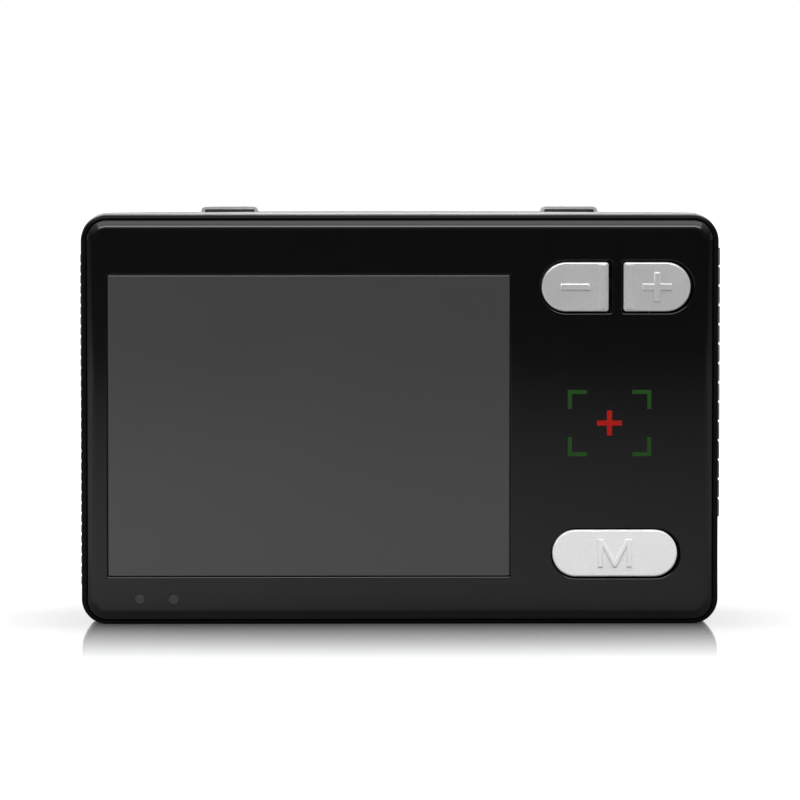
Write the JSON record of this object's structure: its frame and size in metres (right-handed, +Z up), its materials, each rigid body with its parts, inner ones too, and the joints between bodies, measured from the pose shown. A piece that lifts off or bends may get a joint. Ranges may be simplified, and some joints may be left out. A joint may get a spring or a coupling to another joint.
{
  "type": "low vision magnifier",
  "caption": "Pocket electronic magnifier: flat screen and keys in a glossy front, ribbed silver band, camera with lights and a sliding battery door behind.",
  "frame": {"origin": "on the ground under the middle of the body, which stands on its long lower edge", "axes": "+X to the right as the user sees the screen, +Y from the screen to the back, +Z up"},
  "size_m": [0.1122, 0.0222, 0.073],
  "materials": {
    "gloss_black_panel": "high gloss",
    "screen_window": "clear, flush with the panel",
    "display_glass": "dark grey display, off",
    "clear_glass": "clear",
    "black_shell": "satin black",
    "satin_silver": "satin silver paint on plastic",
    "steel": "plated",
    "rubber": "matte",
    "circuit_board": "green solder mask",
    "dark_plastic": "satin",
    "lamp_lens": "clear, slightly cloudy",
    "ribbon_film": "polyimide film",
    "battery_wrap": "printed wrap on an aluminium can"
  },
  "bodies": {
    "body": {"front_panel": "gloss_black_panel", "screen_window": "screen_window", "front_housing": "black_shell", "mid_frame": "satin_silver", "rear_housing": "black_shell", "minus_switch": "steel", "plus_switch": "steel", "mode_switch": "steel", "power_switch": "steel", "freeze_switch": "steel", "power_light_pipe": "lamp_lens", "charge_light_pipe": "lamp_lens", "power_led": "lamp_lens", "charge_led": "lamp_lens", "display_glass": "display_glass", "display_backlight": "steel", "display_ribbon": "ribbon_film", "main_board": "circuit_board", "processor": "dark_plastic", "memory_chip": "dark_plastic", "board_screw_1": "steel", "board_screw_2": "steel", "camera_board": "circuit_board", "camera_ribbon": "ribbon_film", "camera_screw_1": "steel", "camera_screw_2": "steel", "image_sensor": "dark_plastic", "lens_holder": "dark_plastic", "lens_barrel": "dark_plastic", "objective_lens": "clear_glass", "camera_window": "clear_glass", "camera_ring": "satin_silver", "lower_light": "lamp_lens", "upper_light": "lamp_lens", "usb_socket": "steel", "battery": "battery_wrap", "battery_contacts": "dark_plastic", "housing_screw_1": "steel", "housing_screw_2": "steel", "housing_screw_3": "steel", "housing_screw_4": "steel", "rubber_foot_1": "rubber", "rubber_foot_2": "rubber", "rubber_foot_3": "rubber", "rubber_foot_4": "rubber"},
    "minus": {"minus_key": "satin_silver", "minus_plunger": "dark_plastic"},
    "plus": {"plus_key": "satin_silver", "plus_plunger": "dark_plastic"},
    "mode": {"mode_key": "satin_silver", "mode_plunger": "dark_plastic"},
    "power": {"power_key": "satin_silver", "power_plunger": "dark_plastic"},
    "freeze": {"freeze_key": "satin_silver", "freeze_plunger": "dark_plastic"},
    "door": {"battery_door": "black_shell"}
  },
  "joints": [
    {"name": "minus_key_press", "type": "slide", "parent": "body", "child": "minus", "axis": [0, 1, 0], "range_m": [0, 0.0004], "stiffness_N_per_m": 1500, "springref_m": -0.0001},
    {"name": "plus_key_press", "type": "slide", "parent": "body", "child": "plus", "axis": [0, 1, 0], "range_m": [0, 0.0004], "stiffness_N_per_m": 1500, "springref_m": -0.0001},
    {"name": "mode_key_press", "type": "slide", "parent": "body", "child": "mode", "axis": [0, 1, 0], "range_m": [0, 0.0004], "stiffness_N_per_m": 1500, "springref_m": -0.0001},
    {"name": "power_key_press", "type": "slide", "parent": "body", "child": "power", "axis": [0, 0, -1], "range_m": [0, 0.0005], "stiffness_N_per_m": 1500, "springref_m": -0.0001},
    {"name": "freeze_key_press", "type": "slide", "parent": "body", "child": "freeze", "axis": [0, 0, -1], "range_m": [0, 0.0005], "stiffness_N_per_m": 1500, "springref_m": -0.0001},
    {"name": "battery_door_slide", "type": "slide", "parent": "body", "child": "door", "axis": [-1, 0, 0], "range_m": [0, 0.067]}
  ]
}
